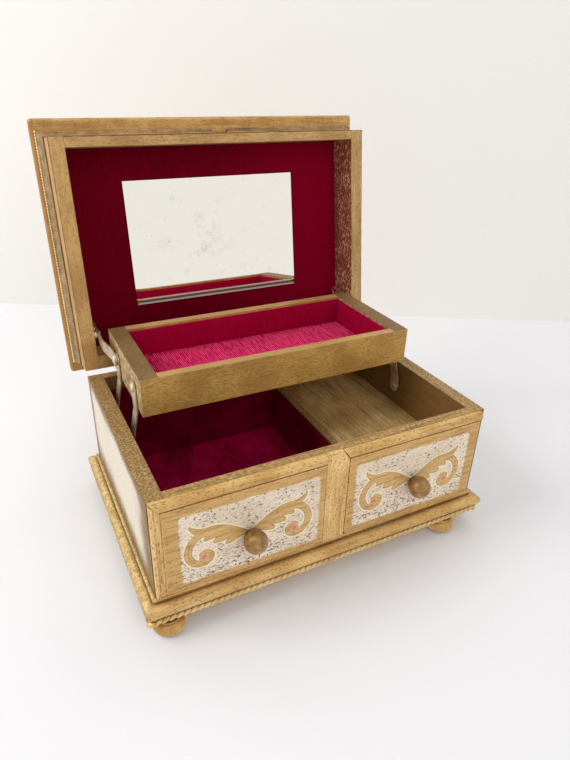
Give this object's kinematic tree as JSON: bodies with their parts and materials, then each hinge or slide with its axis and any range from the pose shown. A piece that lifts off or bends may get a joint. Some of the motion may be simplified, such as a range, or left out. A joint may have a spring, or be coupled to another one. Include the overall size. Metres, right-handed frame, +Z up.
{
  "type": "musical jewelry box",
  "caption": "Footed gilt wooden music and jewellery box: lid with mirror, tray raised by lid links, drawer and matching dummy drawer, velvet linings.",
  "frame": {"origin": "on the floor under the middle of the bounding box of the box as shown, lid open", "axes": "+Z up, front of the case towards -Y, +X to the right along the case"},
  "size_m": [0.2596, 0.2425, 0.2691],
  "materials": {
    "gilt_wood": "wood painted antique gold, rubbed back to brown on the edges, satin",
    "bronze_wood": "wood with a bronze gold wash, grain showing, satin",
    "cream_panel": "cream painted wood flecked brown, with a gold scroll ornament and border, satin",
    "raw_wood": "plain stained wood, matt",
    "knob_gilt": "turned wood painted dark antique gold, satin",
    "crimson_velvet": "crimson velvet with a fine rib, deep pile",
    "magenta_velvet": "bright crimson velvet with a fine rib, short pile",
    "mirror_glass": "silvered glass mirror with bevelled edge",
    "nickel": "dull nickel plated steel strip",
    "brass_plate": "brass plated steel, slightly dulled",
    "movement_brass": "machined brass, satin",
    "spring_steel": "ground spring steel"
  },
  "bodies": {
    "case": {"feet": "gilt_wood", "base_moulding_front": "gilt_wood", "base_moulding_back": "gilt_wood", "base_moulding_sides": "gilt_wood", "left_wall": "gilt_wood", "right_wall": "gilt_wood", "front_wall": "gilt_wood", "back_wall": "gilt_wood", "bottom_board": "raw_wood", "divider": "gilt_wood", "compartment_floor": "bronze_wood", "partition": "raw_wood", "drawer_runners": "raw_wood", "left_lining": "crimson_velvet", "false_drawer_front": "cream_panel", "corner_stile": "gilt_wood", "top_strip": "gilt_wood", "centre_stile": "gilt_wood", "false_drawer_knob": "knob_gilt", "leg_screws": "nickel", "hinge_body_leaves": "brass_plate", "hinge_pins": "brass_plate", "hinge_body_screws": "brass_plate", "movement_bedplate": "movement_brass", "comb": "spring_steel", "governor_bracket": "movement_brass", "movement_screws": "spring_steel"},
    "lid": {"lid_left_rail": "gilt_wood", "lid_right_rail": "gilt_wood", "lid_back_rail": "gilt_wood", "lid_front_rail": "gilt_wood", "lid_plate": "gilt_wood", "lid_moulding_front": "gilt_wood", "lid_moulding_sides": "gilt_wood", "lid_lining": "crimson_velvet", "lid_mirror": "mirror_glass", "lid_bar_pins": "nickel", "hinge_lid_leaves": "brass_plate", "hinge_lid_screws": "brass_plate"},
    "tray": {"tray_ends": "gilt_wood", "tray_sides": "gilt_wood", "tray_bottom": "raw_wood", "tray_lining": "magenta_velvet", "tray_rivets": "nickel"},
    "drawer": {"drawer_front": "cream_panel", "drawer_top_strip": "gilt_wood", "drawer_sides": "raw_wood", "drawer_back": "raw_wood", "drawer_bottom": "raw_wood", "drawer_lining": "magenta_velvet", "drawer_knob": "knob_gilt", "knob_screw": "nickel"},
    "front_legs": {"front_legs": "nickel"},
    "rear_legs": {"rear_legs": "nickel"},
    "lid_bars": {"lid_bars": "nickel"},
    "winding_key": {"winding_key": "movement_brass"},
    "spring_barrel": {"spring_barrel": "movement_brass"},
    "music_cylinder": {"music_cylinder": "movement_brass"},
    "governor_fly": {"governor_fly": "movement_brass"},
    "stop_wire": {"stop_wire": "spring_steel"}
  },
  "joints": [
    {"name": "lid_hinge", "type": "hinge", "parent": "case", "child": "lid", "pos_m": [0, 0.05914, 0.0975], "axis": [1, 0, 0], "range_deg": [0, 98.46]},
    {"name": "rear_leg_pivot", "type": "hinge", "parent": "case", "child": "rear_legs", "pos_m": [0, 0.02484, 0.077], "axis": [1, 0, 0], "range_deg": [0, 78.78]},
    {"name": "front_leg_pivot", "type": "hinge", "parent": "case", "child": "front_legs", "pos_m": [0, -0.01986, 0.077], "axis": [1, 0, 0], "range_deg": [0, 78.78]},
    {"name": "tray_pivot", "type": "hinge", "parent": "rear_legs", "child": "tray", "pos_m": [0, 0.02784, 0.121], "axis": [1, 0, 0], "range_deg": [-78.78, 0]},
    {"name": "lid_bar_pivot", "type": "hinge", "parent": "tray", "child": "lid_bars", "pos_m": [0, 0.02784, 0.121], "axis": [1, 0, 0], "range_deg": [0, 13.5]},
    {"name": "drawer_slide", "type": "slide", "parent": "case", "child": "drawer", "axis": [0, -1, 0], "range_m": [0, 0.068]},
    {"name": "key_turn", "type": "hinge", "parent": "case", "child": "winding_key", "pos_m": [0.0585, 0.01294, 0.018], "axis": [0, 0, -1], "continuous": true},
    {"name": "barrel_turn", "type": "hinge", "parent": "case", "child": "spring_barrel", "pos_m": [0.0585, 0.01294, 0.034], "axis": [0, 0, 1], "continuous": true},
    {"name": "cylinder_turn", "type": "hinge", "parent": "case", "child": "music_cylinder", "pos_m": [0.0745, 0.01294, 0.0285], "axis": [1, 0, 0], "continuous": true},
    {"name": "fly_turn", "type": "hinge", "parent": "case", "child": "governor_fly", "pos_m": [0.0585, -0.00246, 0.036], "axis": [0, 0, 1], "continuous": true},
    {"name": "stop_wire_slide", "type": "slide", "parent": "case", "child": "stop_wire", "axis": [0, 0, 1], "range_m": [-0.00301, 0]}
  ],
  "couplings": [
    {"joint": "rear_leg_pivot", "follows": "lid_hinge", "ratio": 0.8},
    {"joint": "front_leg_pivot", "follows": "lid_hinge", "ratio": 0.8},
    {"joint": "tray_pivot", "follows": "lid_hinge", "ratio": -0.8},
    {"joint": "lid_bar_pivot", "follows": "lid_hinge", "ratio": 0.137},
    {"joint": "stop_wire_slide", "follows": "lid_hinge", "m_per_rad": -0.0017458},
    {"joint": "cylinder_turn", "follows": "barrel_turn", "ratio": -2.5},
    {"joint": "fly_turn", "follows": "barrel_turn", "ratio": -6}
  ]
}
